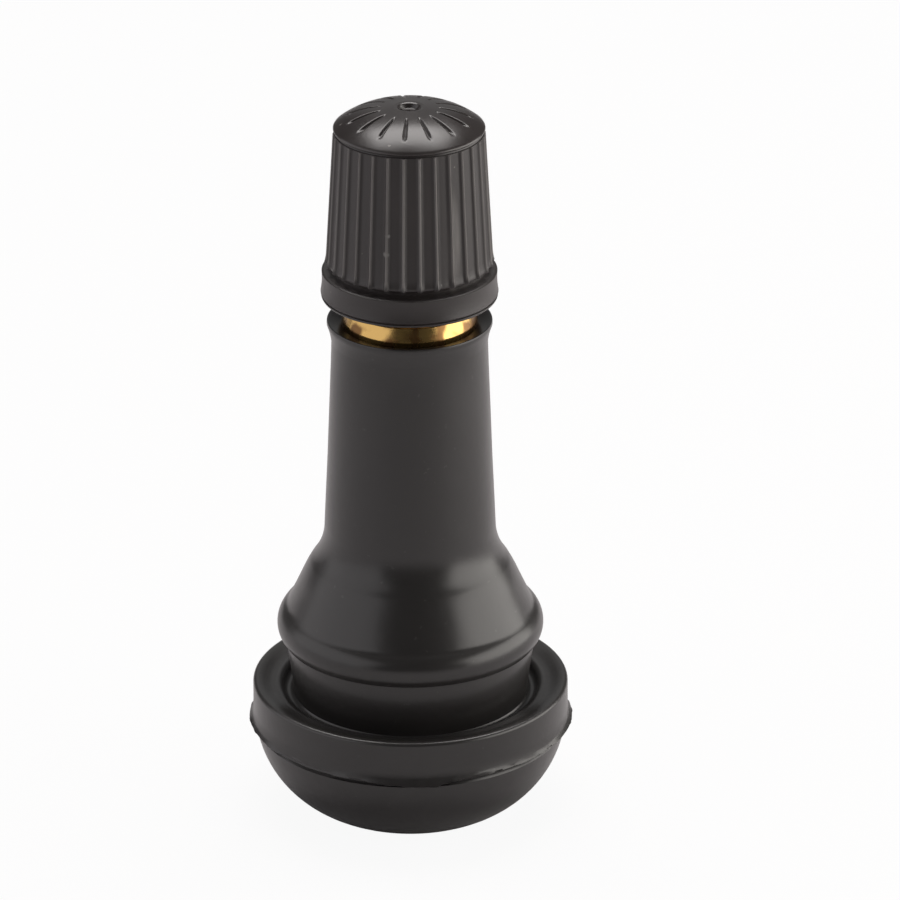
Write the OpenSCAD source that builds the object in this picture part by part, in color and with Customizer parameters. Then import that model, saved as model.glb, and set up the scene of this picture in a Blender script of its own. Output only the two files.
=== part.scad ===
// Snap-in tyre valve: a rubber body bonded to a brass stem, a sprung valve core and a screwed dust cap.
// The origin is at the middle of the foot, and +Z runs up the stem to the cap.

/* [Rim fit] */
// Diameter of the neck that fills the hole in the rim
neck_d = 15; // [13:0.1:17]
// Width of the groove that takes the rim's sheet
groove_w = 3.1; // [1.8:0.1:4]
// How far the bell's bead stands out past the neck
bell_lip = 0.6; // [0.3:0.05:1]
// How far the flange stands out past the neck
flange_ledge = 2.1; // [1.7:0.05:3]

/* [Rubber base] */
// Diameter of the flat foot that the valve stands on
foot_d = 11.8; // [10:0.1:13]
// Diameter of the shallow dish under the foot
dish_d = 8.4; // [7.6:0.1:9.4]
// Depth of the dish at its middle
dish_h = 0.45; // [0.2:0.05:0.8]
// Diameter of the air inlet through the rubber
inlet_d = 5.2; // [4.4:0.1:6.2]
// Height of the bowl from the foot to the mould's parting line
bowl_h = 5.35; // [4.5:0.1:7]
// How far the bowl bulges past a straight cone
bowl_bulge = 0.72; // [0.5:0.05:1.2]
// Height of the flange above the parting line
flange_h = 2.35; // [1.8:0.05:4]
// Rounding of the flange's upper corner
flange_corner = 0.18; // [0.1:0.02:0.6]
// How far the fin of flash stands out at the parting line
flash_w = 0.3; // [0.1:0.02:0.6]
// Thickness of the fin of flash
flash_t = 0.2; // [0.1:0.02:0.4]
// Width of the narrow trough between the flange and the neck
trough_w = 0.2; // [0.1:0.02:0.4]
// Depth of the trough below the flange's top
trough_h = 0.45; // [0.35:0.05:0.8]
// Width of the rounded ridge beside the trough
ridge_w = 0.55; // [0.4:0.05:0.8]
// How far the ridge stands up
ridge_h = 0.16; // [0.06:0.02:0.2]
// How far the flange's top dips between its corner and the ridge
ridge_dip = 0.2; // [0.1:0.02:0.24]

/* [Bell and sleeve] */
// Height of the rounded bead at the foot of the bell
bead_h = 1.55; // [1.2:0.05:2.6]
// How far the bead bulges
bead_bulge = 0.36; // [0.2:0.02:0.5]
// Depth of the crease between the bead and the cone
crease_w = 0.46; // [0.3:0.02:0.7]
// Height of the cone above the crease
cone_h = 3; // [2:0.1:5]
// Height of the hollow fillet between the cone and the sleeve
fillet_h = 2.3; // [1.5:0.1:4]
// How far the fillet spreads at its foot
fillet_w = 1; // [0.5:0.05:1.4]
// How hollow the fillet is
fillet_hollow = 0.17; // [0.05:0.01:0.3]
// Length of the tapered sleeve, with its flared lip
sleeve_l = 13.8; // [8:0.1:30]
// Wall of the sleeve over the brass at its upper end
sleeve_wall = 0.55; // [0.4:0.05:1]
// How much thicker the sleeve's wall is at its lower end
sleeve_taper = 0.5; // [0.2:0.05:0.9]
// How far the lip flares out past the sleeve
flare_w = 0.35; // [0.1:0.05:0.5]
// Height of the flared lip
flare_h = 1.4; // [0.6:0.1:2]

/* [Brass stem] */
// Outer diameter of the stem's thread
thread_d = 7.75; // [7:0.05:9]
// Length of the stem's thread
thread_l = 9.75; // [9.6:0.1:14]
// Chamfer at the stem's tip
tip_chamfer = 0.45; // [0.2:0.05:0.7]
// How far the plain land stands out past the thread
land_step = 0.175; // [0.1:0.025:0.4]
// Height of the plain land that shows above the rubber
land_h = 0.9; // [0.5:0.1:2]
// Depth to which the land is buried in the rubber
land_buried = 1.2; // [0.8:0.1:2]
// Height of the relief groove below the thread
relief_h = 0.4; // [0.2:0.05:0.8]
// Depth of the relief groove
relief_depth = 0.32; // [0.15:0.01:0.5]
// Diameter of the shank inside the rubber
shank_d = 6.8; // [6.2:0.1:7.4]
// How far the grip rings stand out from the shank
grip_w = 0.4; // [0.2:0.05:0.6]
// Height of one grip ring
grip_h = 0.8; // [0.5:0.05:1.2]
// Number of grip rings
grip_n = 4; // [2:1:5]
// Distance between grip rings
grip_pitch = 2.6; // [1.6:0.1:3]
// Diameter of the anchor flange in the base
anchor_d = 10.4; // [9:0.1:12]
// Thickness of the anchor flange
anchor_h = 1.3; // [0.8:0.1:2]
// Length of the tail below the anchor flange
tail_l = 1.4; // [0.8:0.1:2]
// Depth of the stem's lower end above the foot
tail_recess = 1.1; // [0.9:0.05:1.6]
// Small chamfer on the turned edges
edge_chamfer = 0.2; // [0.05:0.05:0.3]

/* [Dust cap] */
// Depth inside the cap, from its mouth to its crown
cap_depth = 10.6; // [8:0.05:11.6]
// Thickness of the crown at its middle
crown_t = 1.6; // [1.2:0.05:2.2]
// Rise of the crown's sloping shoulder
crown_rise = 1.3; // [0.8:0.05:1.8]
// How far the shoulder bulges
crown_bulge = 0.22; // [0.1:0.02:0.4]
// Diameter of the flat of the crown
crown_flat_d = 3.2; // [2.6:0.1:5]
// Running clearance between the cap's thread and the stem's
cap_gap = 0.08; // [0.02:0.01:0.1]
// Wall of the cap at the crown
cap_wall = 0.565; // [0.5:0.02:1.2]
// How much thicker the wall is above the lip
cap_taper = 0.43; // [0.1:0.02:0.8]
// How far the lip stands out past the flutes
lip_w = 0.3; // [0.1:0.02:0.5]
// Height of the lip
lip_h = 2.2; // [1.2:0.1:3]
// Depth of the waist round the lip
lip_waist = 0.1; // [0.05:0.01:0.15]
// How far the lip's lower edge stands out past its upper edge
lip_flare = 0.1; // [0.04:0.02:0.2]
// Chamfer round the lower edge of the lip
lip_chamfer = 0.3; // [0.1:0.05:0.5]
// Height of the slope from the lip in to the flutes
ledge_h = 0.65; // [0.3:0.05:0.8]
// Clearance of the cap's mouth round the land
mouth_gap = 0.25; // [0.1:0.05:0.4]
// Number of flutes
flute_n = 30; // [20:1:36]
// Depth of a flute
flute_depth = 0.3; // [0.15:0.01:0.4]
// Width of a flute at the surface
flute_w = 0.62; // [0.3:0.02:0.7]
// Height of the plain rim between the flutes and the crown
rim_h = 0.3; // [0.1:0.05:0.6]
// Number of rays moulded in the crown
ray_n = 15; // [6:1:20]
// Distance of the rays from the middle of the crown
ray_start = 1.45; // [1:0.05:1.6]
// Length of a ray
ray_l = 2.1; // [1.2:0.1:2.4]
// Depth of a ray
ray_depth = 0.12; // [0.05:0.01:0.2]
// Diameter of the gate mark at the middle of the crown
gate_d = 1.3; // [0.8:0.1:1.6]
// Depth of the gate mark
gate_depth = 0.2; // [0.1:0.05:0.3]

/* [Cap seal] */
// Thickness of the sealing ring
seal_t = 0.8; // [0.5:0.05:1.2]
// Clearance between the sealing ring and the cap
seal_gap = 0.15; // [0.05:0.05:0.3]
// Hole of the sealing ring
seal_hole_d = 3.2; // [2:0.1:4]

/* [Valve core] */
// Outer diameter of the core's thread
core_d = 5.2; // [5:0.05:5.6]
// Length of the plug's thread
plug_l = 3.2; // [2.4:0.1:4]
// Height of the flatted head on the plug
head_h = 1.9; // [1.2:0.1:2.4]
// Distance across the head's flats
head_w = 2.4; // [2:0.1:3]
// How far the pin's tip lies below the stem's end
pin_recess = 0.2; // [0.1:0.05:0.5]
// How far the pin stands out of the plug
pin_reach = 0.6; // [0.3:0.1:1]
// Diameter of the pin
pin_d = 1; // [0.8:0.05:1.2]
// Radial air gap between the pin and the plug
guide_gap = 0.3; // [0.15:0.05:0.35]
// Height of the barrel's collar
collar_h = 0.6; // [0.4:0.1:1]
// Height of the tapered seal on the barrel
taper_h = 1.4; // [1:0.1:2]
// How much the sealing seat inside the stem tapers
taper_w = 0.35; // [0.2:0.05:0.45]
// Width of the shoulder above the sealing seat
taper_step = 0.3; // [0.2:0.05:0.4]
// Depth of the groove that holds the tapered seal
taper_groove = 0.2; // [0.1:0.05:0.25]
// Length of the barrel below the tapered seal
barrel_l = 4.8; // [4:0.1:6]
// Clearance of the barrel in the stem
barrel_gap = 0.2; // [0.1:0.05:0.25]
// Wall of the barrel
barrel_wall = 0.55; // [0.45:0.05:0.6]
// Thickness of the barrel's floor
floor_t = 1; // [0.6:0.1:1.4]
// Height of the barrel's spigot inside the plug
spigot_h = 1.4; // [1:0.1:2]
// Wall of the barrel's spigot
spigot_wall = 0.4; // [0.3:0.05:0.5]
// Radial clearance between the parts of the core
core_gap = 0.05; // [0.02:0.01:0.08]
// Small gap between faces that close on each other
seat_gap = 0.02; // [0.01:0.01:0.05]
// Clearance of the cup in the stem
cup_gap = 0.35; // [0.25:0.05:0.45]
// Wall of the cup
cup_wall = 0.3; // [0.2:0.05:0.35]
// Height of the seal in the cup
cup_seal_h = 0.85; // [0.6:0.05:1.2]
// How far that seal stands out of the cup
cup_seal_proud = 0.3; // [0.15:0.05:0.4]
// How far the riveted end of the pin stands out
rivet_w = 0.35; // [0.2:0.05:0.5]
// Height of the riveted end of the pin
rivet_h = 0.35; // [0.2:0.05:0.5]

/* [Core spring] */
// Diameter of the spring's wire
wire_d = 0.28; // [0.2:0.02:0.32]
// Length of the spring at rest
spring_l = 5.4; // [4.8:0.1:5.8]
// Number of turns
spring_turns = 8; // [5:1:10]
// Clearance of the spring in the barrel
spring_gap = 0.12; // [0.08:0.02:0.16]
// Thickness of the collar that the spring pushes
spring_seat_t = 0.45; // [0.3:0.05:0.6]

/* [Hidden] */
$fn = 96;
// Straight pieces along one rounded stretch of an outline
arc_steps = 12;
// How far a cutting shape reaches past the surface that it cuts
past = 1;

// Levels and radii of the rubber body
neck_r = neck_d / 2;
bell_r = neck_r + bell_lip;
flange_r = neck_r + flange_ledge;
flange_z = bowl_h + flange_h;
bell_z = flange_z + groove_w;
crease_z = bell_z + bead_h;
cone_z = crease_z + cone_h;
sleeve_z = cone_z + fillet_h;
rubber_z = sleeve_z + sleeve_l;
thread_r = thread_d / 2;
land_r = thread_r + land_step;
sleeve_top_r = land_r + sleeve_wall;
sleeve_low_r = sleeve_top_r + sleeve_taper;

// Levels and radii of the brass stem
shank_r = shank_d / 2;
anchor_z = tail_recess + tail_l;
land_z = rubber_z + land_h;
relief_z = land_z + relief_h;
stem_z = relief_z + thread_l;
core_r = core_d / 2;
chamber_r = core_r + core_gap;
taper_r = core_r - taper_step;
bore_r = taper_r - taper_w;

// Levels and radii of the valve core, from the stem's end down
pin_r = pin_d / 2;
pin_z = stem_z - pin_recess;
plug_top_z = pin_z - pin_reach;
plug_thread_z = plug_top_z - head_h;
plug_z = plug_thread_z - plug_l;
taper_z = plug_z - collar_h;
taper_low_z = taper_z - taper_h;
barrel_z = taper_low_z - barrel_l;
floor_z = barrel_z + floor_t;
barrel_r = bore_r - barrel_gap;
barrel_bore_r = barrel_r - barrel_wall;
spigot_r = barrel_bore_r + spigot_wall;
guide_r = pin_r + guide_gap;
groove_r = barrel_r - taper_groove;
cup_r = bore_r - cup_gap;
cup_seal_r = cup_r - cup_wall;
cup_seal_top = barrel_z - seat_gap;
cup_floor_z = cup_seal_top - cup_seal_h;
cup_z = cup_floor_z - cup_wall;
wire_r = wire_d / 2;
coil_r = barrel_bore_r - spring_gap - wire_r;
spring_z = floor_z + seat_gap;
spring_seat_z = spring_z + spring_l + seat_gap;
spring_seat_r = barrel_bore_r - spring_gap;

// Levels and radii of the dust cap
seal_z = stem_z + seat_gap;
crown_under_z = seal_z + seal_t + seat_gap;
crown_z = crown_under_z + crown_t;
crown_edge_z = crown_z - crown_rise;
cap_z = crown_under_z - cap_depth;
lip_z = cap_z + lip_h;
cap_bore_r = thread_r + cap_gap;
mouth_r = land_r + mouth_gap;
cap_top_r = cap_bore_r + cap_wall;
cap_low_r = cap_top_r + cap_taper;
lip_r = cap_low_r + lip_w;

// Points of a round arc from a to b, which stands out by sag on the right of the way from a to b
function arc(a, b, sag, steps = arc_steps) =
    let (
        chord = b - a,
        half = norm(chord) / 2,
        radius = (half * half + sag * sag) / (2 * sag),
        right = [chord[1], -chord[0]] / norm(chord),
        centre = (a + b) / 2 - right * (radius - sag),
        start = atan2(a[1] - centre[1], a[0] - centre[0]),
        sweep = 4 * atan(sag / half)
    )
    [for (i = [0 : steps])
        centre + abs(radius) * [cos(start + sweep * i / steps), sin(start + sweep * i / steps)]];

// Sag of a quarter circle between two tangent lines at right angles
function quarter_sag(r) = r * (1 - sqrt(0.5));

// Outer outline of the rubber body, from the foot up to the flared lip
function rubber_outline() =
    let (
        parting_r = flange_r - flash_t / 2,
        trough_r = neck_r + trough_w,
        trough_z = flange_z - trough_h + trough_w / 2,
        bead_low_r = bell_r - bell_lip / 2,
        crease_r = bell_r - crease_w,
        fillet_r = sleeve_low_r + fillet_w,
        flare_z = rubber_z - flare_h
    )
    concat(
        arc([foot_d / 2, 0], [parting_r, bowl_h - flash_t], bowl_bulge),
        [
            [flange_r + flash_w, bowl_h - flash_t / 4],
            [flange_r + flash_w, bowl_h + flash_t / 4],
            [flange_r, bowl_h + flash_t]
        ],
        arc(
            [flange_r, flange_z - flange_corner],
            [flange_r - flange_corner, flange_z],
            quarter_sag(flange_corner),
            arc_steps / 2
        ),
        arc(
            [trough_r + ridge_w, flange_z - ridge_dip],
            [trough_r, flange_z - ridge_dip],
            ridge_h,
            arc_steps / 2
        ),
        arc([trough_r, trough_z], [neck_r, trough_z], -trough_w / 2, arc_steps / 2),
        [[neck_r, bell_z]],
        arc([bead_low_r, bell_z], [crease_r, crease_z], bead_bulge),
        arc([fillet_r, cone_z], [sleeve_low_r, sleeve_z], -fillet_hollow),
        arc([sleeve_top_r, flare_z], [sleeve_top_r + flare_w, rubber_z], -flare_w / 8, arc_steps / 3)
    );

// Outer outline of the brass stem, from its tail up to its tip
function stem_outline() =
    let (
        anchor_r = anchor_d / 2,
        anchor_top_z = anchor_z + anchor_h,
        land_low_z = rubber_z - land_buried,
        land_cone_z = land_low_z - (land_r - shank_r),
        grip_top_z = land_cone_z - grip_pitch
    )
    concat(
        [
            [0, tail_recess],
            [shank_r - edge_chamfer, tail_recess],
            [shank_r, tail_recess + edge_chamfer],
            [shank_r, anchor_z],
            [anchor_r - edge_chamfer, anchor_z],
            [anchor_r, anchor_z + edge_chamfer],
            [anchor_r, anchor_top_z - edge_chamfer],
            [anchor_r - edge_chamfer, anchor_top_z],
            [shank_r, anchor_top_z]
        ],
        [for (i = [grip_n - 1 : -1 : 0], step = grip_steps(grip_top_z - i * grip_pitch)) step],
        [
            [shank_r, land_cone_z],
            [land_r, land_low_z],
            [land_r, land_z - edge_chamfer],
            [land_r - edge_chamfer, land_z],
            [thread_r - relief_depth, land_z],
            [thread_r - relief_depth, relief_z],
            [thread_r, relief_z + relief_depth],
            [thread_r, stem_z - tip_chamfer],
            [thread_r - tip_chamfer, stem_z],
            [0, stem_z]
        ]
    );

// One grip ring on the shank, as a saw tooth that keeps the rubber from being pulled off
function grip_steps(z) = [
    [shank_r, z],
    [shank_r + grip_w, z + grip_h - edge_chamfer],
    [shank_r + grip_w, z + grip_h],
    [shank_r, z + grip_h]
];

// Bore of the brass stem, with the tapered seat and the threaded chamber of the core
function bore_outline() = [
    [0, tail_recess - past],
    [bore_r, tail_recess - past],
    [bore_r, taper_low_z],
    [taper_r, taper_z],
    [chamber_r, taper_z],
    [chamber_r, stem_z - edge_chamfer],
    [chamber_r + edge_chamfer, stem_z],
    [chamber_r + edge_chamfer, stem_z + past],
    [0, stem_z + past]
];

// Outline of the dust cap, from its mouth up the lip and the flutes to the crown, and back inside
function cap_outline() =
    let (
        gate_r = gate_d / 2,
        mouth_top_z = lip_z + ledge_h
    )
    concat(
        [[mouth_r, cap_z], [lip_r - lip_chamfer / 2, cap_z]],
        arc([lip_r + lip_flare, cap_z + lip_chamfer], [lip_r, lip_z], -lip_waist),
        [[cap_low_r, lip_z + ledge_h]],
        arc([cap_top_r, crown_edge_z], [crown_flat_d / 2, crown_z - gate_depth / 2], crown_bulge),
        [
            [gate_r, crown_z],
            [gate_r - gate_depth, crown_z - gate_depth],
            [0, crown_z - gate_depth],
            [0, crown_under_z],
            [cap_bore_r, crown_under_z],
            [cap_bore_r, mouth_top_z],
            [mouth_r, mouth_top_z - (mouth_r - cap_bore_r)]
        ]
    );

module rubber_body() {
    color("#3b3938")
    rotate_extrude()
    difference() {
        polygon(concat(
            [[0, dish_h], [inlet_d / 2, dish_h], [dish_d / 2, 0]],
            rubber_outline(),
            [[0, rubber_z]]
        ));
        polygon(stem_outline());
        square([inlet_d / 2, tail_recess + edge_chamfer]);
    }
}

module brass_stem() {
    color("#b8923f")
    rotate_extrude()
    difference() {
        polygon(stem_outline());
        polygon(bore_outline());
    }
}

// A tapered flute, closed below by the lip and above by the rim of the crown
module flute() {
    low_z = lip_z + ledge_h / 3;
    long = crown_edge_z - low_z;
    draft = atan((cap_low_r - cap_top_r) / (crown_edge_z - lip_z - ledge_h));
    translate([cap_low_r, 0, low_z])
    rotate([0, -draft, 0])
    linear_extrude(long - rim_h)
    polygon([
        [-flute_depth, -flute_w / 6],
        [0, -flute_w / 2],
        [lip_w + past, -flute_w / 2],
        [lip_w + past, flute_w / 2],
        [0, flute_w / 2],
        [-flute_depth, flute_w / 6]
    ]);
}

// A round-bottomed ray that starts beside the gate mark and runs down the sloping shoulder of the crown.
// It is less steep than the shoulder, which bulges above it, so it is deepest halfway.
module ray() {
    ray_r = ray_depth * 2;
    slope = atan((crown_rise - gate_depth / 2) / (cap_top_r - crown_flat_d / 2));
    translate([ray_start, 0, crown_z - gate_depth / 2 + ray_r - ray_depth / 2])
    rotate([0, 90 + slope * 0.7, 0])
    cylinder(h = ray_l, r = ray_r);
}

module cap_shell() {
    color("#454240")
    difference() {
        rotate_extrude() polygon(cap_outline());
        for (i = [0 : flute_n - 1]) {
            rotate(i * 360 / flute_n) flute();
        }
        for (i = [0 : ray_n - 1]) {
            rotate(i * 360 / ray_n) ray();
        }
    }
}

module cap_seal() {
    color("#1e1d1c")
    translate([0, 0, seal_z])
    difference() {
        cylinder(h = seal_t, r = cap_bore_r - seal_gap);
        translate([0, 0, -past]) cylinder(h = seal_t + 2 * past, d = seal_hole_d);
    }
}

module core_plug() {
    head_r = core_r - 2 * edge_chamfer;
    color("#c9a24a")
    difference() {
        union() {
            rotate_extrude()
            polygon([
                [0, plug_z],
                [core_r - edge_chamfer, plug_z],
                [core_r, plug_z + edge_chamfer],
                [core_r, plug_thread_z - edge_chamfer],
                [core_r - edge_chamfer, plug_thread_z],
                [0, plug_thread_z]
            ]);
            intersection() {
                translate([0, 0, plug_z]) cylinder(h = plug_top_z - plug_z, r = head_r);
                translate([-core_r, -head_w / 2, plug_z]) cube([core_d, head_w, plug_top_z - plug_z]);
            }
        }
        translate([0, 0, plug_z - past]) cylinder(h = plug_top_z - plug_z + 2 * past, r = guide_r);
        translate([0, 0, plug_z - past]) cylinder(h = spigot_h + past + seat_gap, r = spigot_r + core_gap);
    }
}

module core_barrel() {
    color("#bf9745")
    rotate_extrude()
    difference() {
        polygon([
            [0, barrel_z],
            [barrel_r - edge_chamfer, barrel_z],
            [barrel_r, barrel_z + edge_chamfer],
            [barrel_r, taper_low_z],
            [groove_r, taper_low_z],
            [groove_r, taper_z],
            [taper_r - core_gap, taper_z],
            [taper_r - core_gap, plug_z],
            [spigot_r, plug_z],
            [spigot_r, plug_z + spigot_h],
            [0, plug_z + spigot_h]
        ]);
        translate([0, floor_z]) square([barrel_bore_r, plug_z + spigot_h + past - floor_z]);
        translate([0, barrel_z - past]) square([guide_r, floor_t + 2 * past]);
    }
}

module barrel_seal() {
    color("#2a2725")
    rotate_extrude()
    polygon([[groove_r, taper_low_z], [bore_r, taper_low_z], [taper_r, taper_z], [groove_r, taper_z]]);
}

module valve_pin() {
    tip = pin_r / 3;
    color("#d2b05c")
    rotate_extrude()
    polygon([
        [0, cup_z - rivet_h],
        [pin_r + rivet_w - tip, cup_z - rivet_h],
        [pin_r + rivet_w, cup_z - rivet_h + tip],
        [pin_r + rivet_w, cup_z],
        [pin_r, cup_z],
        [pin_r, pin_z - tip],
        [pin_r - tip, pin_z],
        [0, pin_z]
    ]);
}

module spring_seat() {
    color("#b08a3c")
    translate([0, 0, spring_seat_z])
    difference() {
        cylinder(h = spring_seat_t, r = spring_seat_r);
        translate([0, 0, -past]) cylinder(h = spring_seat_t + 2 * past, r = pin_r);
    }
}

module core_cup() {
    color("#c39a48")
    rotate_extrude()
    polygon([
        [pin_r, cup_z],
        [cup_r - edge_chamfer, cup_z],
        [cup_r, cup_z + edge_chamfer],
        [cup_r, cup_seal_top - cup_seal_proud],
        [cup_seal_r, cup_seal_top - cup_seal_proud],
        [cup_seal_r, cup_floor_z],
        [pin_r, cup_floor_z]
    ]);
}

module cup_seal() {
    color("#232120")
    translate([0, 0, cup_floor_z])
    difference() {
        cylinder(h = cup_seal_h, r = cup_seal_r);
        translate([0, 0, -past]) cylinder(h = cup_seal_h + 2 * past, r = pin_r);
    }
}

// Rise of the wire after some turns: one closed turn lies at each end of the spring
function coil_rise(turn) =
    let (
        closed = wire_d * 1.15,
        open = (spring_l - wire_d - 2 * closed) / (spring_turns - 2)
    )
    turn < 1 ? turn * closed
    : turn > spring_turns - 1 ? spring_l - wire_d - (spring_turns - turn) * closed
    : closed + (turn - 1) * open;

// The wire of the spring, swept as rings of points along the coil
module core_spring() {
    sides = 8;
    rings_per_turn = 14;
    rings = spring_turns * rings_per_turn;
    points = [
        for (i = [0 : rings], j = [0 : sides - 1])
        let (
            turn = i / rings_per_turn,
            r = coil_r + wire_r * cos(360 * j / sides),
            z = spring_z + wire_r + coil_rise(turn) + wire_r * sin(360 * j / sides)
        )
        [r * cos(360 * turn), r * sin(360 * turn), z]
    ];
    skin = [
        for (i = [0 : rings - 1], j = [0 : sides - 1])
        let (
            a = i * sides + j,
            b = i * sides + (j + 1) % sides
        )
        each [[a, b, b + sides], [a, b + sides, a + sides]]
    ];
    first_end = [for (j = [sides - 1 : -1 : 0]) j];
    last_end = [for (j = [0 : sides - 1]) rings * sides + j];
    color("#c8c8c4") polyhedron(points, concat(skin, [first_end, last_end]));
}

rubber_body();
brass_stem();
cap_shell();
cap_seal();
core_plug();
core_barrel();
barrel_seal();
valve_pin();
spring_seat();
core_cup();
cup_seal();
core_spring();
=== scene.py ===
# %% [markdown]
# # A snap-in tyre valve
# This lesson dresses a rubber tyre valve: a moulded rubber body on a brass stem, a fluted dust cap
# and the small sprung core inside. The solids come from the CAD frame and never move.
# We measure the whole box first, because the finished model has to stay inside it.

# %% Load the frame
import math
import random

import bmesh
import bpy
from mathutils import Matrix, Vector


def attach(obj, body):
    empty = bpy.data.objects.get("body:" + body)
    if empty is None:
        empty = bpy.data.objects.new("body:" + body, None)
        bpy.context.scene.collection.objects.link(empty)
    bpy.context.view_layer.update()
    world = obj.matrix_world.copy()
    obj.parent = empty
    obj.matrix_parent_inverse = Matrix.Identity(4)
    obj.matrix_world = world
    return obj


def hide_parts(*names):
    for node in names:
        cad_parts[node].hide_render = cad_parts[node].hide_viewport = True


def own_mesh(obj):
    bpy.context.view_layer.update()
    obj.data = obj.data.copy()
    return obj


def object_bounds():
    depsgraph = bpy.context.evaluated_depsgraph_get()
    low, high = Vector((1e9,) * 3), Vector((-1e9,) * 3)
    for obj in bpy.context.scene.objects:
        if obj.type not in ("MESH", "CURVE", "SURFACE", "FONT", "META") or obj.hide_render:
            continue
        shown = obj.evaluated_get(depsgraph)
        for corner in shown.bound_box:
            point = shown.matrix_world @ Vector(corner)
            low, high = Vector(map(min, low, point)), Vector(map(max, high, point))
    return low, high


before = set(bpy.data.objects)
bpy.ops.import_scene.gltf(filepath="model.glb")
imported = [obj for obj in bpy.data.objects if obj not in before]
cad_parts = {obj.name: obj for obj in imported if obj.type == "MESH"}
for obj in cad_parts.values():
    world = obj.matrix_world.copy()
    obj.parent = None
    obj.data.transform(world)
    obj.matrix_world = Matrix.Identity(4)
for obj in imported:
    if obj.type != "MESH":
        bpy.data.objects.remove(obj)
cad_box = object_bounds()
MM = 0.001
low, high = cad_box
print("CAD box in mm:", [round((b - a) / MM, 2) for a, b in zip(low, high)])

# %% [markdown]
# ## Outlines for a lathe
# Nearly every piece of a valve is turned or moulded round one axis. The shape is then all in one
# outline, a list of radius and height in millimetres. A rounded stretch could be drawn by eye, but
# two small helpers keep it true: `arc` bows a line out by a given amount, and `rounded` softens
# corners, because no real edge is perfectly sharp and the light shows it.

# %% Arcs and soft corners
def arc(a, b, sag, steps=12):
    """Points of an arc from a to b that stands out by sag on the right of the way."""
    a, b = Vector(a), Vector(b)
    chord = b - a
    half = chord.length / 2
    radius = (half * half + sag * sag) / (2 * sag)
    right = Vector((chord.y, -chord.x)).normalized()
    centre = (a + b) / 2 - right * (radius - sag)
    start = math.atan2(a.y - centre.y, a.x - centre.x)
    sweep = 4 * math.atan(sag / half)
    turns = [start + sweep * i / steps for i in range(steps + 1)]
    return [tuple(centre + abs(radius) * Vector((math.cos(t), math.sin(t)))) for t in turns]


def rounded(corners, steps=4):
    """The same line with each corner that has a third number rounded by that reach."""
    line = []
    for i, corner in enumerate(corners):
        here = Vector(corner[:2])
        if len(corner) < 3:
            line.append(tuple(here))
            continue
        back = Vector(corners[i - 1][:2]) - here
        ahead = Vector(corners[(i + 1) % len(corners)][:2]) - here
        start = here + back.normalized() * min(corner[2], 0.45 * back.length)
        end = here + ahead.normalized() * min(corner[2], 0.45 * ahead.length)
        for step in range(steps + 1):
            t = step / steps
            line.append(tuple(start.lerp(here, t).lerp(here.lerp(end, t), t)))
    return line


print("a quarter bow:", [tuple(round(c, 2) for c in p) for p in arc((1, 0), (0, 1), 0.29, 2)])

# %% [markdown]
# ## Turning an outline
# By hand one adds a plane, merges it to a single point, extrudes that point along the outline and
# spins the line round the axis. `turn` does just that. The seam of the spin is merged and the
# normals are recalculated, so that the shell is closed and faces outwards.

# %% The lathe
def turn(name, outline, steps=192, degrees=360):
    """Spin an outline of (radius, height) in mm round the valve's axis."""
    bpy.ops.object.select_all(action="DESELECT")
    first = Vector((outline[0][0], 0, outline[0][1]))
    bpy.ops.mesh.primitive_plane_add(size=MM, location=first * MM)
    piece = bpy.context.object
    piece.name = name
    bpy.ops.object.transform_apply(location=True, rotation=True, scale=True)
    bpy.ops.object.mode_set(mode="EDIT")
    bpy.ops.mesh.merge(type="CENTER")
    for a, b in zip(outline, outline[1:]):
        step = Vector((b[0] - a[0], 0, b[1] - a[1])) * MM
        bpy.ops.mesh.extrude_vertices_move(TRANSFORM_OT_translate={"value": step})
    bpy.ops.mesh.select_all(action="SELECT")
    bpy.ops.mesh.spin(steps=steps, angle=math.radians(degrees), center=(0, 0, 0), axis=(0, 0, 1))
    close_shell()
    bpy.ops.object.mode_set(mode="OBJECT")
    return piece


def close_shell():
    """In edit mode, merge the seams and poles and turn the faces outwards."""
    bpy.ops.mesh.select_all(action="SELECT")
    bpy.ops.mesh.remove_doubles(threshold=0.002 * MM)
    bpy.ops.mesh.normals_make_consistent(inside=False)


def smooth(piece, degrees=30):
    """Shade a piece smooth, with edges sharper than this angle kept crisp."""
    bpy.ops.object.select_all(action="DESELECT")
    piece.select_set(True)
    bpy.context.view_layer.objects.active = piece
    bpy.ops.object.shade_smooth_by_angle(angle=math.radians(degrees))
    print(piece.name, "has", len(piece.data.polygons), "faces")


def stand_for(piece, node, body):
    """The piece stands for a CAD node, which it hides, and moves with its body."""
    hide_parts(node)
    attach(piece, body)


# %% [markdown]
# ## The brass stem
# The stem is turned from brass rod. Its foot has a flange and saw-tooth rings that anchor it in the
# rubber, a plain land shows under the cap, and the thread is cut above. Here the turned part stops
# at the thread's root, because the thread is a helix and no lathe outline can give it.

# %% Outline of the stem
LAND_R = 4.05
ROOT_R = 3.42
CREST_R = 3.875
STEM_TOP = 42.5
RUBBER_TOP = 31.45

buried = [(3.2, 1.1), (3.4, 1.3), (3.4, 2.5), (5.0, 2.5), (5.2, 2.7), (5.2, 3.6), (5.0, 3.8), (3.4, 3.8)]
for ring in range(4):
    z = 19.2 + 2.6 * ring
    buried += [(3.4, z), (3.8, z + 0.6), (3.8, z + 0.8), (3.4, z + 0.8)]
buried += [(3.4, 29.6), (LAND_R, 30.25)]

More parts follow.
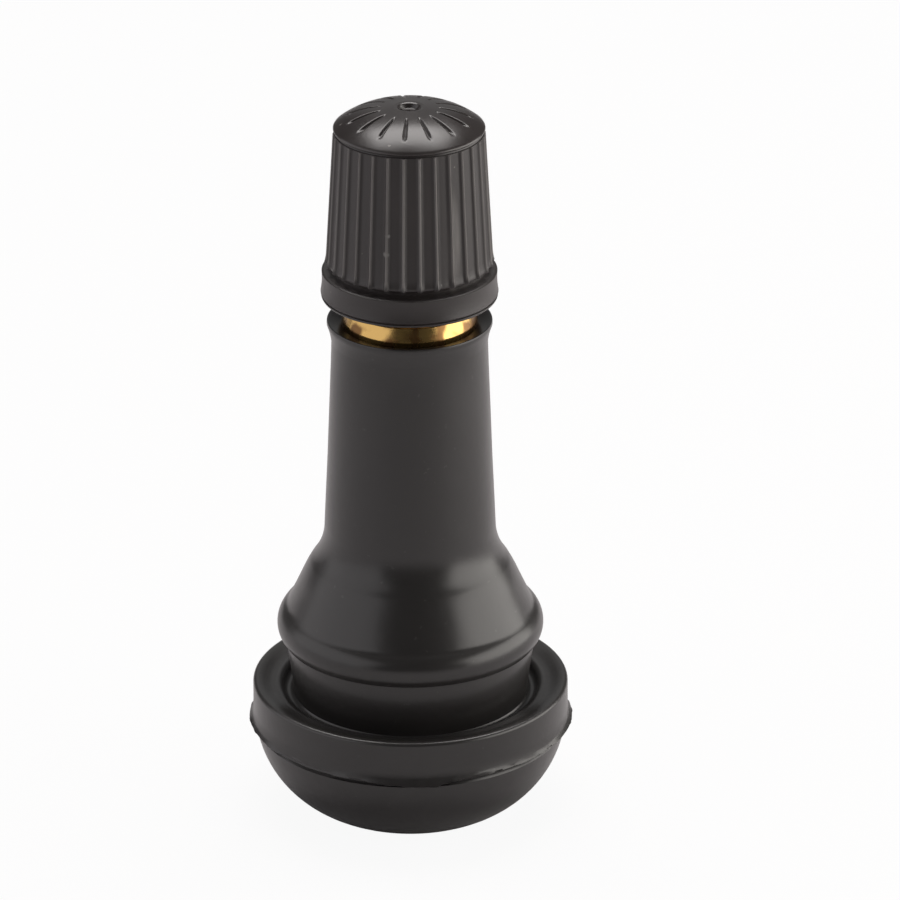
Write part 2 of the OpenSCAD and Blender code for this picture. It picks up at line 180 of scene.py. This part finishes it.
above = rounded([
    (LAND_R, RUBBER_TOP - 0.3),
    (LAND_R, 31.5, 0.1),
    (3.86, 32.05),
    (3.77, 32.33, 0.06),
    (3.555, 32.38, 0.05),
    (ROOT_R, 32.75, 0.05),
    (ROOT_R, STEM_TOP - 0.06),
    (3.36, STEM_TOP, 0.03),
    (2.85, STEM_TOP, 0.03),
    (2.65, STEM_TOP - 0.2, 0.03),
    (2.65, 36.0),
    (2.3, 36.0),
    (1.95, 34.6),
    (1.95, 1.1),
])
brass_stem = turn("stem_turned", buried + above + buried[:1], steps=160)
print("stem is turned from", buried[0][1], "to", STEM_TOP, "mm")

# %% [markdown]
# ## Picking points
# In edit mode one box-selects the points to change. In a script the pick has to come from the points
# themselves. On a round piece their radius, their turn about the axis and their height say it best.

# %% Pick and join
def select(test):
    """In edit mode, select the vertices whose radius, turn in degrees and height in mm pass a test."""
    bpy.ops.mesh.select_mode(type="VERT")
    bpy.ops.mesh.select_all(action="DESELECT")
    mesh = bmesh.from_edit_mesh(bpy.context.object.data)
    count = 0
    for vertex in mesh.verts:
        x, y, z = vertex.co / MM
        if test(math.hypot(x, y), math.degrees(math.atan2(y, x)), z):
            vertex.select_set(True)
            count += 1
    mesh.select_flush(True)
    bmesh.update_edit_mesh(bpy.context.object.data)
    return count


def join(target, *others):
    """Join other meshes into the target."""
    bpy.ops.object.select_all(action="DESELECT")
    for piece in others:
        piece.select_set(True)
    target.select_set(True)
    bpy.context.view_layer.objects.active = target
    bpy.ops.object.join()


# %% [markdown]
# ## A thread
# A thread is a ridge that climbs by one pitch each turn. The Screw modifier sweeps a small
# trapezium in that way. The ends of the ridge would stop like cut pipe, so a turned envelope trims
# them: what lies inside both stays, which leaves the chamfer that a die starts on.

# %% The thread's helix
PITCH = 0.79375


def thread(name, root_r, crest_r, from_z, to_z, envelope):
    """A closed helical ridge from root_r to crest_r, kept inside a turned envelope."""
    bpy.ops.object.select_all(action="DESELECT")
    deep = crest_r - root_r
    crest_half = PITCH / 14
    root_half = crest_half + deep * math.tan(math.radians(30))
    middle = (root_r + crest_r) / 2
    start = from_z - 1.5 * PITCH
    bpy.ops.mesh.primitive_plane_add(
        size=deep * MM,
        location=(middle * MM, 0, start * MM),
        rotation=(math.radians(90), 0, 0),
    )
    ridge = bpy.context.object
    ridge.name = name
    bpy.ops.object.transform_apply(location=True, rotation=True, scale=True)
    bpy.ops.object.mode_set(mode="EDIT")
    for radius, half in ((root_r, root_half), (crest_r, crest_half)):
        select(lambda r, turn_deg, z: abs(r - radius) < 0.01)
        wide = 2 * half / deep
        bpy.ops.transform.resize(value=(1, 1, wide), center_override=(0, 0, start * MM))
    bpy.ops.mesh.select_all(action="SELECT")
    bpy.ops.mesh.delete(type="ONLY_FACE")
    bpy.ops.object.mode_set(mode="OBJECT")
    bpy.ops.object.modifier_add(type="SCREW")
    sweep = ridge.modifiers[-1]
    sweep.screw_offset = PITCH * MM
    sweep.iterations = math.ceil((to_z - from_z) / PITCH) + 3
    sweep.steps = sweep.render_steps = 72
    bpy.ops.object.modifier_apply(modifier=sweep.name)
    bpy.ops.object.mode_set(mode="EDIT")
    bpy.ops.mesh.select_all(action="SELECT")
    bpy.ops.mesh.fill_holes(sides=8)
    close_shell()
    bpy.ops.object.mode_set(mode="OBJECT")
    bpy.ops.object.modifier_add(type="BOOLEAN")
    trim = ridge.modifiers[-1]
    trim.operation = "INTERSECT"
    trim.solver = "EXACT"
    trim.object = envelope
    bpy.ops.object.modifier_apply(modifier=trim.name)
    bpy.data.objects.remove(envelope)
    return ridge


# %% [markdown]
# The stem's envelope is slanted at both ends. At the top this is the lead-in that lets the cap start,
# and at the bottom the thread runs out to its root. The ridge is sunk a little into the stem, so that
# no gap shows at its foot, and then joined to it.

# %% Cut the stem's thread
THREAD_LOW = 32.8
CORE_R = ROOT_R - 0.15
die = turn("die_envelope", [
    (CORE_R, THREAD_LOW),
    (CORE_R, STEM_TOP - 0.02),
    (CREST_R - 0.45, STEM_TOP - 0.02),
    (CREST_R, STEM_TOP - 0.45),
    (CREST_R, THREAD_LOW + 0.35),
    (CORE_R, THREAD_LOW),
], steps=144)
stem_thread = thread("stem_thread", ROOT_R - 0.1, CREST_R + 0.02, THREAD_LOW, STEM_TOP, die)
join(brass_stem, stem_thread)
smooth(brass_stem, 28)
stand_for(brass_stem, "brass_stem", "valve")

# %% [markdown]
# ## The rubber body
# One mould makes the whole body: a bowl with a shallow dish below, the flange, the groove for the
# rim, the bell and the long sleeve that grips the brass. It is a single outline, from the inlet
# under the foot round the outside, and back down along the stem's own buried outline.

# %% Outline of the rubber
FLASH_Z = 5.35
outside = rounded([
    (2.6, 1.1),
    (2.6, 0.45, 0.12),
    (4.2, 0.0, 0.25),
    (5.75, 0.0),
])
# Bowl
outside += arc((5.98, 0.06), (9.43, 4.9), 0.72, 16)
# Parting line with its fin of flash
outside += [(9.38, 4.98), (9.31, 5.06), (9.33, 5.14), (9.42, 5.2), (9.72, 5.27)]
outside += [(9.86, 5.31), (9.9, FLASH_Z), (9.85, 5.41), (9.66, 5.5)]
# Flange and its sunk top
outside += [(9.6, 5.62), (9.6, 6.2), (9.59, 6.9)]
outside += arc((9.59, 7.62), (9.36, 7.86), 0.07, 8)
outside += [(9.2, 7.84), (8.9, 7.73), (8.65, 7.63), (8.45, 7.58), (8.3, 7.56)]
outside += arc((8.2, 7.55), (7.74, 7.3), 0.1, 12)
# Trough and neck
outside += arc((7.7, 7.2), (7.14, 7.2), -0.16, 8)
outside += rounded([(7.15, 7.5), (7.2, 8.1), (7.3, 8.8), (7.41, 9.5), (7.5, 10.2)])
outside += rounded([(7.5, 10.4), (7.5, 10.8, 0.14), (7.8, 10.8, 0.1)])
# Bead, cone and fillet of the bell
outside += arc((7.8, 10.8), (7.52, 12.7), 0.41, 16)[2:]
outside += [(7.42, 12.84), (7.32, 13.05), (7.22, 13.26), (7.02, 13.68), (6.85, 14.05), (6.67, 14.45)]
outside += [(6.49, 14.85), (6.29, 15.25), (6.07, 15.64)]
outside += arc((6.0, 15.75), (5.17, 18.1), -0.2, 14)
# Sleeve and its flared edge
outside += [(5.09, 19.9), (4.96, 22.6), (4.845, 25.6), (4.73, 28.5)]
outside += arc((4.68, 30.05), (4.95, 31.2), -0.04, 6)
outside += rounded([
    (4.95, 31.3),
    (4.93, RUBBER_TOP, 0.1),
    (4.7, RUBBER_TOP - 0.08),
    (LAND_R, RUBBER_TOP - 0.3),
])
inside = [*reversed(buried), (2.6, 1.1)]
rubber_body = turn("rubber_casing", outside + inside, steps=216)
print("rubber outline has", len(outside), "points outside and", len(inside), "along the stem")

# %% [markdown]
# ## Flash at the parting line
# Where the two halves of the mould met, a thin fin of rubber was squeezed out and torn off. It isn't
# even: it stands out most on one side, sags in front and ends there in a small step. The fin is
# already in the outline, so its rim is picked sector by sector and scaled and moved as listed, with a
# seeded random touch for the torn edge.

# %% Tear the flash
# Turn in degrees, how far the fin stands out, how far it sags (mm). Front is -90.
fin = [
    (-180, 0.26, 0.0), (-160, 0.22, 0.0), (-140, 0.12, 0.03), (-125, 0.1, 0.02), (-108, 0.14, 0.05),
    (-95, 0.2, 0.18), (-80, 0.24, 0.3), (-77, 0.14, 0.02), (-60, 0.18, -0.04), (-45, 0.12, 0.0),
    (-20, 0.24, 0.0), (0, 0.3, 0.0), (25, 0.2, 0.03), (60, 0.12, 0.0), (100, 0.2, 0.06),
    (140, 0.14, -0.03), (180, 0.26, 0.0),
]
chance = random.Random(11)
bpy.context.view_layer.objects.active = rubber_body
bpy.ops.object.mode_set(mode="EDIT")
SECTORS = 108
SECTOR = 360 / SECTORS
SIDE_R = 9.6
FIN_R = 9.9
for index in range(SECTORS):
    middle = -180 + SECTOR * (index + 0.5)
    for (a, out_a, sag_a), (b, out_b, sag_b) in zip(fin, fin[1:]):
        if a <= middle < b:
            share = (middle - a) / (b - a)
            out = out_a + (out_b - out_a) * share
            sag = sag_a + (sag_b - sag_a) * share
    out += chance.uniform(-0.04, 0.02)
    factor = (SIDE_R + out) / FIN_R
    sag += chance.uniform(0, 0.03)

    def on_rim(r, turn_deg, z):
        return r > 9.7 and abs(turn_deg - middle) <= SECTOR / 2 and abs(z - 5.34) < 0.12

    def on_fin(r, turn_deg, z):
        return r > 9.25 and abs(turn_deg - middle) <= SECTOR / 2 and 4.95 < z < 5.45

    select(on_rim)
    bpy.ops.transform.resize(value=(factor, factor, 1), center_override=(0, 0, 0))
    select(on_fin)
    bpy.ops.transform.translate(value=(0, 0, -sag * MM))
bpy.ops.object.mode_set(mode="OBJECT")
smooth(rubber_body, 34)
stand_for(rubber_body, "rubber_body", "valve")

# %% [markdown]
# ## The dust cap
# The cap is moulded with thirty flutes for the fingers and fifteen rays in its crown. Cutting each
# one by hand would be slow, and thirty boolean cuts would leave messy edges. Two flutes and one ray
# fill a wedge of 24 degrees, so we spin just that wedge, press the flutes and the ray into it, and
# copy it round.

# %% Outline of the cap
CAP_LOW = 32.74
LIP_TOP = 34.64
FLUTE_TOP = 43.3
CAP_TOP = 44.94
WALL_R = 4.95
WALL_LOW = 35.85
WALL_IN = 0.43
wall_h = FLUTE_TOP - WALL_LOW
SKIRT_LOW = CAP_LOW + 0.2
skirt = rounded([(4.3, 33.3), (4.3, SKIRT_LOW, 0.06), (5.2, SKIRT_LOW, 0.08), (5.3, 33.12, 0.1)])
skirt += arc((5.3, 33.28), (5.23, LIP_TOP - 0.12), -0.04, 8)
skirt += [(5.23, LIP_TOP - 0.05), (5.18, LIP_TOP), (5.0, LIP_TOP + 0.02), (4.8, LIP_TOP + 0.06)]
skirt += [(4.66, LIP_TOP + 0.18), (4.68, LIP_TOP + 0.34), (4.92, LIP_TOP + 0.43), (5.04, LIP_TOP + 0.48)]
skirt += arc((5.06, LIP_TOP + 0.54), (WALL_R, WALL_LOW), -0.02, 6)
wall = [(WALL_R - WALL_IN * t / 12, WALL_LOW + wall_h * t / 12) for t in range(1, 13)]
rim = [(4.47, 43.34), (4.4, 43.38), (4.38, 43.45), (4.42, 43.52), (4.5, 43.56), (4.5, 43.62)]
crown = arc((4.46, 43.68), (1.6, 44.84), 0.22, 26)
crown += [(1.6 - 0.08 * t, 44.84 + 0.01 * t) for t in range(1, 10)]
crown += rounded([(0.72, CAP_TOP, 0.05), (0.6, CAP_TOP - 0.06, 0.03), (0.45, CAP_TOP - 0.32, 0.05)], 3)
crown += [(0.3, CAP_TOP - 0.34), (0.12, CAP_TOP - 0.32), (0.0, CAP_TOP - 0.31)]
hollow = [(0.0, 43.34), (2.0, 43.34), (3.9, 43.34), (3.955, 43.28), (3.955, 39.0), (3.955, 35.6)]
hollow += [(4.3, 35.2), (4.3, 33.3)]
WEDGE = 24
cap_shell = turn("fluted_cap", skirt + wall + rim + crown + hollow, steps=32, degrees=WEDGE)
outer = [v.co for v in cap_shell.data.vertices if v.co.x > 2 * MM]
first_turn = min(math.degrees(math.atan2(co.y, co.x)) for co in outer)
print("wedge starts at", round(first_turn, 2), "degrees")

# %% [markdown]
# ## Flutes and rays
# In the wedge the columns of points lie 0.75 degrees apart. Scaling a column towards the axis presses
# it in, so each column gets its share of the flute's depth: a broad hollow floor, steep sides and a
# narrow rounded ridge between two flutes.

# %% Press the flutes
FLUTE = 12
FLUTE_DEPTH = 0.17
MEAN_R = 4.75
shares = {0: 0.0, 0.75: 0.16, 1.5: 0.6, 2.25: 0.9, 3: 0.98, 3.75: 1.0, 4.5: 1.0, 5.25: 1.0, 6: 1.0}
FLUTE_LOW = LIP_TOP + 0.4
bpy.context.view_layer.objects.active = cap_shell
bpy.ops.object.mode_set(mode="EDIT")
for away, share in shares.items():
    def in_column(r, turn_deg, z):
        column = (turn_deg - first_turn) % FLUTE
        near = min(column, FLUTE - column)
        return abs(near - away) < 0.2 and r > 4.2 and FLUTE_LOW < z < FLUTE_TOP + 0.02

    factor = 1 - FLUTE_DEPTH * share / MEAN_R
    pressed = select(in_column)
    bpy.ops.transform.resize(value=(factor, factor, 1), center_override=(0, 0, 0))
print("last column pressed:", pressed, "points")

# %% [markdown]
# The ray is a narrow dent in the crown, pressed straight down. Its ends get half the depth, because a
# moulded groove runs out softly. Then the wedge is copied round and the whole cap is turned until its
# flutes stand as they do in the photo.

# %% Press the ray and copy the wedge
RAY_DEPTH = 0.14
ray_shares = {0: 1.0, 0.75: 0.85, 1.5: 0.5, 2.25: 0.15}
ray_parts = ((1.75, 2.0, 0.5), (2.0, 3.45, 1.0), (3.45, 3.7, 0.5))
for away, share in ray_shares.items():
    for from_r, to_r, part in ray_parts:
        def in_ray(r, turn_deg, z):
            near = abs(turn_deg - first_turn - WEDGE / 2)
            return abs(near - away) < 0.2 and z > 43.9 and from_r < r <= to_r

        select(in_ray)
        bpy.ops.transform.translate(value=(0, 0, -RAY_DEPTH * share * part * MM))
bpy.ops.mesh.select_all(action="SELECT")
copies = 360 // WEDGE
CAP_TURN = 10
bpy.ops.mesh.spin(
    steps=copies - 1,
    dupli=True,
    angle=math.radians(WEDGE * (copies - 1)),
    center=(0, 0, 0),
    axis=(0, 0, 1),
)
close_shell()
bpy.ops.transform.rotate(value=math.radians(CAP_TURN), orient_axis="Z", center_override=(0, 0, 0))
bpy.ops.object.mode_set(mode="OBJECT")
smooth(cap_shell, 40)
stand_for(cap_shell, "cap_shell", "cap")

# %% [markdown]
# ## The core's spring
# A fine steel wire pushes the pin up. It is a small circle swept along a helix, so the Screw
# modifier serves again.

# %% Wind the spring
SPRING_LOW = 30.82
SPRING_LONG = 5.4
WIRE = 0.14
bpy.ops.object.select_all(action="DESELECT")
bpy.ops.mesh.primitive_circle_add(
    vertices=12,
    radius=WIRE * MM,
    location=(0.94 * MM, 0, (SPRING_LOW + WIRE) * MM),
    rotation=(math.radians(90), 0, 0),
)
spring = bpy.context.object
spring.name = "core_coil"
bpy.ops.object.transform_apply(location=True, rotation=True, scale=True)
bpy.ops.object.modifier_add(type="SCREW")
winding = spring.modifiers[-1]
winding.iterations = 8
winding.screw_offset = (SPRING_LONG - 2 * WIRE) / winding.iterations * MM
winding.steps = winding.render_steps = 40
bpy.ops.object.modifier_apply(modifier=winding.name)
bpy.ops.object.mode_set(mode="EDIT")
bpy.ops.mesh.select_all(action="SELECT")
bpy.ops.mesh.fill_holes(sides=16)
close_shell()
bpy.ops.object.mode_set(mode="OBJECT")
smooth(spring, 60)
stand_for(spring, "core_spring", "valve")
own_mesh(spring)

# %% [markdown]
# ## Writing finishes as sums
# A finish is a network of nodes, and long networks are hard to read as code. `Value` wraps one
# socket, so that `1 - mask` or `dust * 0.5` adds the Math node that it stands for.

# %% Sums of sockets
class Value:
    """A socket in a finish. Sums with it add Math nodes."""

    def __init__(self, finish, socket):
        self.finish = finish
        self.socket = socket

    def maths(self, operation, a, b):
        """Add a Math node."""
        return self.finish.add("ShaderNodeMath", {"operation": operation}, {0: a, 1: b})

    def __add__(self, other):
        return self.maths("ADD", self, other)

    def __radd__(self, other):
        return self.maths("ADD", other, self)

    def __sub__(self, other):
        return self.maths("SUBTRACT", self, other)

    def __rsub__(self, other):
        return self.maths("SUBTRACT", other, self)

    def __mul__(self, other):
        return self.maths("MULTIPLY", self, other)


# %% [markdown]
# `Finish` holds the nodes of one material and makes any node with one method. The textures read the
# piece's own coordinates, so a finish stays on its piece when that piece moves.

# %% Nodes of a finish
class Finish:
    """The nodes of one material, or of the world."""

    def __init__(self, owner):
        owner.use_nodes = True
        self.owner = owner
        self.tree = owner.node_tree

    def add(self, kind, settings, sockets, output=0):
        """Make a node, set it up and return one of its outputs."""
        node = self.tree.nodes.new(kind)
        for name, value in settings.items():
            setattr(node, name, value)
        self.fill(node, sockets)
        return Value(self, node.outputs[output])

    def fill(self, node, sockets):
        """Set each socket to a value or link it to another socket."""
        for name, value in sockets.items():
            if isinstance(value, Value):
                self.tree.links.new(value.socket, node.inputs[name])
            else:
                node.inputs[name].default_value = value

    def blend(self, share, a, b):
        """Mix two colours."""
        return self.add("ShaderNodeMix", {"data_type": "RGBA"}, {0: share, 6: a, 7: b}, 2)

    def place(self, stretch=(1, 1, 1)):
        """The piece's own coordinates in metres, stretched by a Mapping node."""
        spot = self.add("ShaderNodeTexCoord", {}, {}, "Object")
        return self.add("ShaderNodeMapping", {}, {"Vector": spot, "Scale": stretch})

    def noise(self, scale, detail=3.0, stretch=(1, 1, 1)):
        """Noise of this many blotches to the metre."""
        sockets = {"Vector": self.place(stretch), "Scale": scale, "Detail": detail}
        return self.add("ShaderNodeTexNoise", {}, sockets)

    def ramp(self, value, low, high):
        """0 below low, 1 above high and smooth between."""
        settings = {"interpolation_type": "SMOOTHSTEP"}
        sockets = {"Value": value, "From Min": low, "From Max": high}
        return self.add("ShaderNodeMapRange", settings, sockets)

    def bump(self, height, depth):
        """A bump whose height of 1 stands depth metres proud."""
        sockets = {"Strength": 1.0, "Distance": depth, "Height": height}
        return self.add("ShaderNodeBump", {}, sockets)

    def spot(self, centre, reach, stretch=(1, 1, 1)):
        """1 at a place given in mm, fading to 0 at this reach. A stretch below 1 makes it longer."""
        sockets = {0: self.place(stretch), 1: [c * s * MM for c, s in zip(centre, stretch)]}
        away = self.add("ShaderNodeVectorMath", {"operation": "DISTANCE"}, sockets, "Value")
        return 1 - self.ramp(away, reach * 0.4 * MM, reach * MM)

    def surface(self, **sockets):
        """Set or link sockets of the material's own shader."""
        names = {name.replace("_", " "): value for name, value in sockets.items()}
        self.fill(self.tree.nodes["Principled BSDF"], names)


def finish(name):
    """Start a new material."""
    return Finish(bpy.data.materials.new(name))


print("finishes can be written")

# %% [markdown]
# ## Moulded rubber
# Carbon black makes the rubber dark grey, never quite black. The mould's steel gives it a satin skin
# with a fine grain, handling leaves cloudy patches where the sheen changes, and a little pale dust
# stays behind.

# %% Rubber of the body
rubber = finish("moulded_rubber")
clouds = rubber.noise(210, 4.0)
grain = rubber.noise(4200, 2.0)
peel = rubber.noise(1100, 1.0)
dust = rubber.ramp(rubber.noise(2600, 2.0), 0.68, 0.8)
grey = rubber.blend(clouds, (0.0145, 0.0135, 0.013, 1), (0.022, 0.0205, 0.02, 1))
grey = rubber.blend(dust * 0.2, grey, (0.1, 0.097, 0.094, 1))
rubber.surface(
    Base_Color=grey,
    Roughness=0.24 + clouds * 0.08 + grain * 0.04,
    Normal=rubber.bump(grain * 0.08 + peel, 0.008 * MM),
    Specular_IOR_Level=0.5,
)
print("rubber has", len(rubber.tree.nodes), "nodes")

# %% [markdown]
# ## Moulded plastic
# The cap is a harder, slightly warmer black plastic. Its flutes keep a matt skin with faint upright
# streaks from the mould, its crown is a little smoother, and a few pale specks of dust cling to it.

# %% Plastic of the cap
plastic = finish("cap_plastic")
clouds = plastic.noise(320, 4.0)
grain = plastic.noise(6000, 2.0)
streaks = plastic.noise(900, 3.0, (1, 1, 0.12))
specks = plastic.ramp(plastic.noise(1900, 1.0), 0.78, 0.82)
height = plastic.add("ShaderNodeSeparateXYZ", {}, {"Vector": plastic.place()}, "Z")
crown_skin = plastic.ramp(height, 43.4 * MM, 43.7 * MM)
grey = plastic.blend(clouds, (0.014, 0.0115, 0.011, 1), (0.025, 0.0205, 0.0196, 1))
grey = plastic.blend(specks * 0.6, grey, (0.2, 0.19, 0.175, 1))
print("plastic has", len(plastic.tree.nodes), "nodes so far")

# %% [markdown]
# The ridges are painted paler along their length, a painted highlight for the light lines that they
# catch, and two small nicks show in front. A patch of flutes on the front right is painted paler too, a
# painted highlight from the right box. The ridges are found by their radius: they alone reach the cone
# of the cap's wall.

# %% Painted highlights and nicks of the cap
nicks = plastic.spot((-1.25, -4.46, 38.5), 0.2) + plastic.spot((-1.33, -4.5, 37.35), 0.24)
grey = plastic.blend(nicks * 0.6, grey, (0.26, 0.25, 0.24, 1))
flat = plastic.place((1, 1, 0))
round_r = plastic.add("ShaderNodeVectorMath", {"operation": "LENGTH"}, {0: flat}, "Value")
wall_r = WALL_R * MM - (height - WALL_LOW * MM) * (WALL_IN / wall_h)
# Painted highlight: each ridge is lightened, more where the streaks run.
ridge = plastic.ramp(round_r - wall_r, -0.09 * MM, -0.01 * MM) * (1 - crown_skin)
ridge = ridge * plastic.ramp(height, 35.2 * MM, 35.6 * MM)
grey = plastic.blend(ridge * (0.25 + streaks * 0.8), grey, (0.15, 0.141, 0.135, 1))
# Painted highlight: a tall patch of flutes on the front right, where the right box shines, is lightened.
right_flute_highlight = plastic.spot((2.57, -3.81, 37.9), 0.62, (1, 1, 0.16)) * plastic.ramp(streaks, 0.3, 0.7)
grey = plastic.blend(right_flute_highlight, grey, (0.14, 0.132, 0.125, 1))
plastic.surface(
    Base_Color=grey,
    Roughness=0.32 + clouds * 0.08 + streaks * 0.08 - crown_skin * 0.1,
    Normal=plastic.bump(grain * 0.3 + streaks, 0.006 * MM),
    Specular_IOR_Level=0.5,
)
print("plastic has", len(plastic.tree.nodes), "nodes")

# %% [markdown]
# ## Turned brass
# Brass from a lathe keeps fine rings where the tool passed. It tarnishes unevenly to a browner gold,
# strongest below 32.2 mm, on the land, and weaker from 33 mm up. The rings are noise that is stretched
# flat, so it changes only with height.

# %% Brass of the stem and the core
def brass(name, bright, tarnished):
    """Turned brass between a bright and a tarnished colour."""
    metal = finish(name)
    rings = metal.noise(1.0, 4.0, (120, 120, 9000))
    height = metal.add("ShaderNodeSeparateXYZ", {}, {"Vector": metal.place()}, "Z")
    above_land = metal.ramp(height, 32.2 * MM, 33.0 * MM)
    tarnish = metal.ramp(metal.noise(700, 2.0), 0.44, 0.62) * (1 - above_land * 0.7)
    gold = metal.blend(tarnish, (*bright, 1), (*tarnished, 1))
    metal.surface(
        Base_Color=gold,
        Metallic=1.0,
        Roughness=0.14 + tarnish * 0.14 + rings * 0.06,
        Normal=metal.bump(rings, 0.006 * MM),
    )
    return metal


# The stem's brass, bright and tarnished alike, is a darker copy of the core's: painted shade and painted
# dark reflection for the band under the cap's lip.
stem_brass = brass("stem_brass", (0.54, 0.35, 0.12), (0.17, 0.092, 0.036))
core_brass = brass("core_brass", (0.84, 0.62, 0.28), (0.6, 0.4, 0.17))
print("brass has", len(stem_brass.tree.nodes), "nodes")

# %% [markdown]
# ## Seals and spring wire
# The rings that seal are matt black rubber with a chalky bloom. The spring is drawn steel wire with a
# fine grain and a few duller patches.

# %% Seal rubber and spring steel
seal = finish("seal_rubber")
bloom = seal.noise(1500, 4.0)
seal.surface(
    Base_Color=seal.blend(bloom, (0.016, 0.016, 0.016, 1), (0.034, 0.033, 0.032, 1)),
    Roughness=0.62 + bloom * 0.2,
    Normal=seal.bump(seal.noise(5000), 0.01 * MM),
)
steel = finish("spring_steel")
dull = steel.noise(2600, 3.0)
steel.surface(
    Base_Color=steel.blend(dull, (0.66, 0.66, 0.64, 1), (0.46, 0.45, 0.43, 1)),
    Metallic=1.0,
    Roughness=0.22 + dull * 0.2,
    Normal=steel.bump(steel.noise(7000), 0.004 * MM),
)
print("seal and steel have", len(seal.tree.nodes), "and", len(steel.tree.nodes), "nodes")

# %% [markdown]
# ## Painting
# Each piece gets the finish of what it is made of. The CAD nodes that our pieces stand for don't show,
# but they are painted too, so that no part of the frame is left bare.

# %% Paint every piece and CAD node
painted = {
    rubber_body: rubber,
    cap_shell: plastic,
    brass_stem: stem_brass,
    spring: steel,
}
for name in ("core_plug", "core_barrel", "valve_pin", "spring_seat", "core_cup"):
    painted[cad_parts[name]] = core_brass
for name in ("cap_seal", "barrel_seal", "cup_seal"):
    painted[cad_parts[name]] = seal
hidden = {"rubber_body": rubber, "brass_stem": stem_brass, "cap_shell": plastic, "core_spring": steel}
for name, coat in hidden.items():
    painted[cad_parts[name]] = coat
for piece, coat in painted.items():
    piece.data.materials.clear()
    piece.data.materials.append(coat.owner)
print("painted", len(painted), "meshes")

# %% [markdown]
# ## Floor and backdrop
# The valve stands on a white floor before a white backdrop. For the camera they are simply white, by
# the Light Path node. The floor keeps a part of its plain shading, so that the soft shadow under the
# valve stays. Black rubber shows mostly reflections, and they see a much dimmer room: almost dark on
# the camera's side and grey behind, which is what gives the photo its contrast.

# %% White floor
bpy.ops.object.select_all(action="DESELECT")
bpy.ops.mesh.primitive_circle_add(vertices=64, radius=3.0, fill_type="NGON", location=(0, 0, -0.02 * MM))
floor = bpy.context.object
floor.name = "floor"
ground = finish("white_floor")
seen = ground.add("ShaderNodeLightPath", {}, {}, "Is Camera Ray")
ground.surface(Base_Color=(0.56, 0.545, 0.555, 1), Roughness=0.9)
white = ground.add("ShaderNodeEmission", {}, {"Color": (1, 1, 1, 1), "Strength": 1.0})
plain = Value(ground, ground.tree.nodes["Principled BSDF"].outputs[0])
mixed = ground.add("ShaderNodeMixShader", {}, {0: seen * 0.93, 1: plain, 2: white})
ground.fill(ground.tree.nodes["Material Output"], {"Surface": mixed})
floor.data.materials.append(ground.owner)
print("floor is", floor.dimensions.x, "m across")

# %% [markdown]
# The backdrop is the world's colour. The camera sees it white, and what the valve mirrors is dim, with
# a soft glow straight behind that shows as the pale sheen on slopes that face the back.

# %% White backdrop
world = bpy.data.worlds.new("studio")
bpy.context.scene.world = world
sky = Finish(world)
rays = sky.add("ShaderNodeLightPath", {}, {}, "Is Camera Ray")
through = Value(sky, rays.socket.node.outputs["Is Transmission Ray"])
aim = sky.add("ShaderNodeTexCoord", {}, {}, "Generated")
aside = sky.add("ShaderNodeSeparateXYZ", {}, {"Vector": aim}, "X")
depth = Value(sky, aside.socket.node.outputs["Y"])
glow = sky.ramp(depth, 0.6, 0.9) * (1 - sky.ramp(aside * aside, 0.01, 0.09))
dim = 0.085 + glow * 0.26
level = rays + through + (1 - rays - through) * dim
sky.fill(sky.tree.nodes["Background"], {"Color": (1, 1, 1, 1), "Strength": level})
print("backdrop has", len(sky.tree.nodes), "nodes")

# %% [markdown]
# ## Soft studio light
# Where a highlight lies on black rubber tells where its lamp stood. The crown's bright front slope
# mirrors a wide box overhead and behind, the bell's right side a box low on the right, and the left
# side a larger and weaker one. A box's power is spread over its whole face, so each box is given by
# its brightness and the power follows from its size.

# %% Soft boxes
MIDDLE = Vector((0, 0, 22)) * MM


def soft_box(name, turn_deg, lift_deg, away, width, tall, bright, tint):
    """An area light that faces the valve: turn 0 is in front, 90 on the right and 180 behind."""
    turn_rad, lift = math.radians(turn_deg), math.radians(lift_deg)
    ahead = math.cos(lift)
    aim = Vector((ahead * math.sin(turn_rad), -ahead * math.cos(turn_rad), math.sin(lift)))
    bpy.ops.object.light_add(type="AREA", location=MIDDLE + aim * away)
    lamp = bpy.context.object
    lamp.name = name
    lamp.data.shape = "RECTANGLE"
    lamp.data.size = width
    lamp.data.size_y = tall
    lamp.data.energy = bright * math.pi * width * tall
    lamp.data.color = tint
    lamp.rotation_euler = (-aim).to_track_quat("-Z", "Y").to_euler()
    print(name, "gives", round(lamp.data.energy, 2), "W")


soft_box("top_box", 180, 70, 0.6, 0.56, 0.34, 7.4, (1, 0.965, 0.95))
soft_box("right_box", 87, 15, 0.2, 0.29, 0.14, 3.6, (1, 0.965, 0.92))
soft_box("left_box", 284, 21, 0.2, 0.36, 0.18, 1.1, (1, 0.965, 0.98))

# %% [markdown]
# ## The camera
# The photo was taken from 23.6 degrees above, from about 42 cm, with a long lens. The valve stands a
# little left of the middle, so the camera is moved sideways instead of turned, which keeps the
# uprights upright.

# %% Camera
ELEVATION = math.radians(23.6)
DISTANCE = 420 * MM
PIXELS_PER_M = 16620
view_up = Vector((0, math.sin(ELEVATION), math.cos(ELEVATION)))
view_line = Vector((0, math.cos(ELEVATION), -math.sin(ELEVATION)))
ASIDE = 40 / PIXELS_PER_M
RAISED = 11.5 / PIXELS_PER_M
target = Vector((ASIDE, 0, 22.1 * MM)) + view_up * RAISED
bpy.ops.object.camera_add(
    location=target - view_line * DISTANCE,
    rotation=(math.radians(90) - ELEVATION, 0, 0),
)
camera = bpy.context.object
FRAME_PIXELS = 900
camera.data.sensor_width = 36
camera.data.lens = camera.data.sensor_width * PIXELS_PER_M * DISTANCE / FRAME_PIXELS
camera.data.clip_start = 0.01
bpy.context.scene.camera = camera
bpy.context.scene.view_settings.view_transform = "Standard"
print("lens", round(camera.data.lens, 1), "mm")
